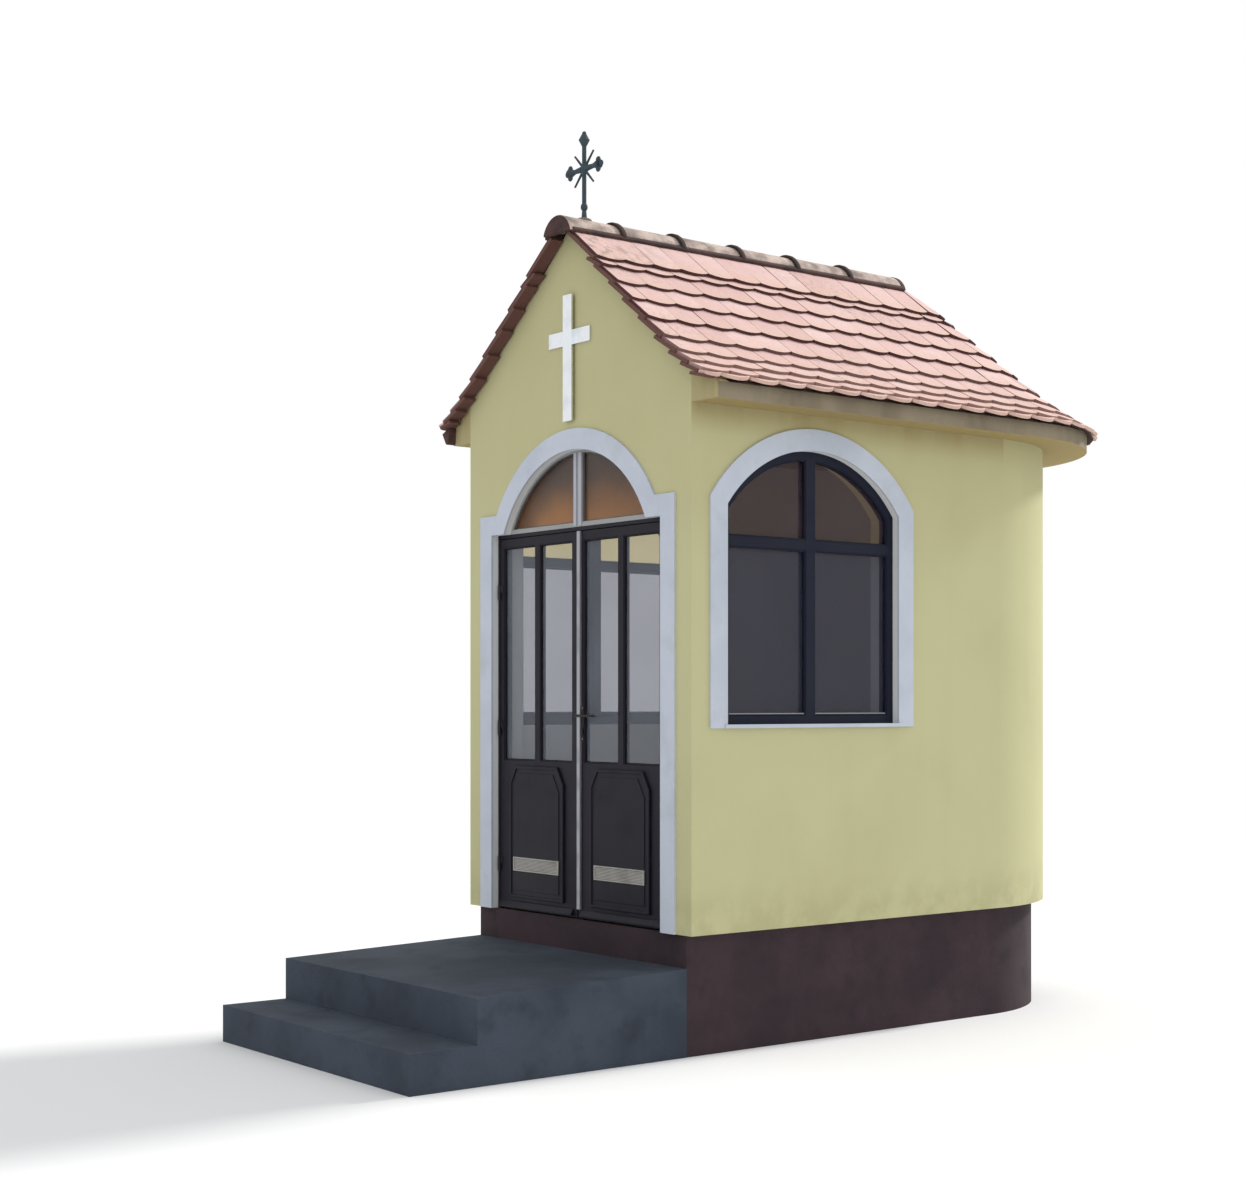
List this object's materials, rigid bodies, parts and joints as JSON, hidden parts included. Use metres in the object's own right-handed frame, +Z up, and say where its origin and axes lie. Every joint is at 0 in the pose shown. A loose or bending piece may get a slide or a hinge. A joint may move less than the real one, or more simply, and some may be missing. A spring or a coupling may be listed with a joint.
{
  "type": "wayside chapel",
  "caption": "Small rendered wayside chapel with a round back, tiled roof, arched side windows and a glazed double door that opens.",
  "frame": {"origin": "middle of the walls' plan at ground level, on the foundation's underside", "axes": "+X to the right seen from the door, +Y from the door towards the round back, +Z up"},
  "size_m": [2.45, 5.135, 4.7551],
  "materials": {
    "concrete": "weathered cast concrete",
    "render": "floated mineral render, pale yellow-green",
    "roof_tile": "matt clay",
    "pale_band": "smooth painted render, off-white",
    "dark_joinery": "satin dark brown-black",
    "pale_joinery": "satin light grey",
    "clear_glass": "clear sheet",
    "amber_glass": "amber patterned sheet",
    "bare_aluminium": "satin",
    "black_metal": "satin black",
    "dark_steel": "satin",
    "wrought_iron": "weathered dark blue-grey",
    "polished_steel": "polished sheet",
    "wood": "oiled",
    "linen": "woven white linen"
  },
  "bodies": {
    "building": {"foundation": "concrete", "floor_slab": "concrete", "entrance_steps": "concrete", "front_wall_right": "render", "front_wall_left": "render", "front_wall_head": "render", "front_gable": "render", "right_wall_sill": "render", "right_wall_head": "render", "right_wall_rear": "render", "left_wall_sill": "render", "left_wall_head": "render", "left_wall_rear": "render", "apse_wall_1": "render", "apse_wall_2": "render", "apse_wall_3": "render", "eaves_slab": "concrete", "roof_right": "roof_tile", "roof_left": "roof_tile", "roof_apse_right": "roof_tile", "roof_apse_left": "roof_tile", "ridge_cap": "roof_tile", "finial_cross": "wrought_iron", "gable_cross": "polished_steel", "door_surround": "pale_band", "window_surrounds": "pale_band", "window_frames": "dark_joinery", "window_glass_upper": "amber_glass", "window_glass_lower": "clear_glass", "door_frame": "dark_joinery", "fanlight_frame": "pale_joinery", "fanlight_glass": "amber_glass", "hinge_pins": "dark_steel", "altar_table": "wood", "altar_cloth": "linen"},
    "left_leaf": {"door_leaf_left": "dark_joinery", "door_glass_left": "clear_glass", "vent_left": "bare_aluminium", "hinge_knuckles_left": "dark_steel"},
    "right_leaf": {"door_leaf_right": "dark_joinery", "door_glass_right": "clear_glass", "vent_right": "bare_aluminium", "hinge_knuckles_right": "dark_steel", "astragal": "bare_aluminium", "lock_plate": "black_metal"},
    "handle": {"door_handle": "black_metal"}
  },
  "joints": [
    {"name": "right_leaf_hinge", "type": "hinge", "parent": "building", "child": "right_leaf", "pos_m": [0.7215, -1.5785, 1.6], "axis": [0, 0, 1], "range_deg": [0, 100]},
    {"name": "left_leaf_hinge", "type": "hinge", "parent": "building", "child": "left_leaf", "pos_m": [-0.7215, -1.5785, 1.6], "axis": [0, 0, -1], "range_deg": [0, 100]},
    {"name": "handle_turn", "type": "hinge", "parent": "right_leaf", "child": "handle", "pos_m": [0.043, -1.5685, 1.67], "axis": [0, 1, 0], "range_deg": [0, 40], "stiffness_Nm_per_rad": 1, "springref_deg": -34.38}
  ]
}
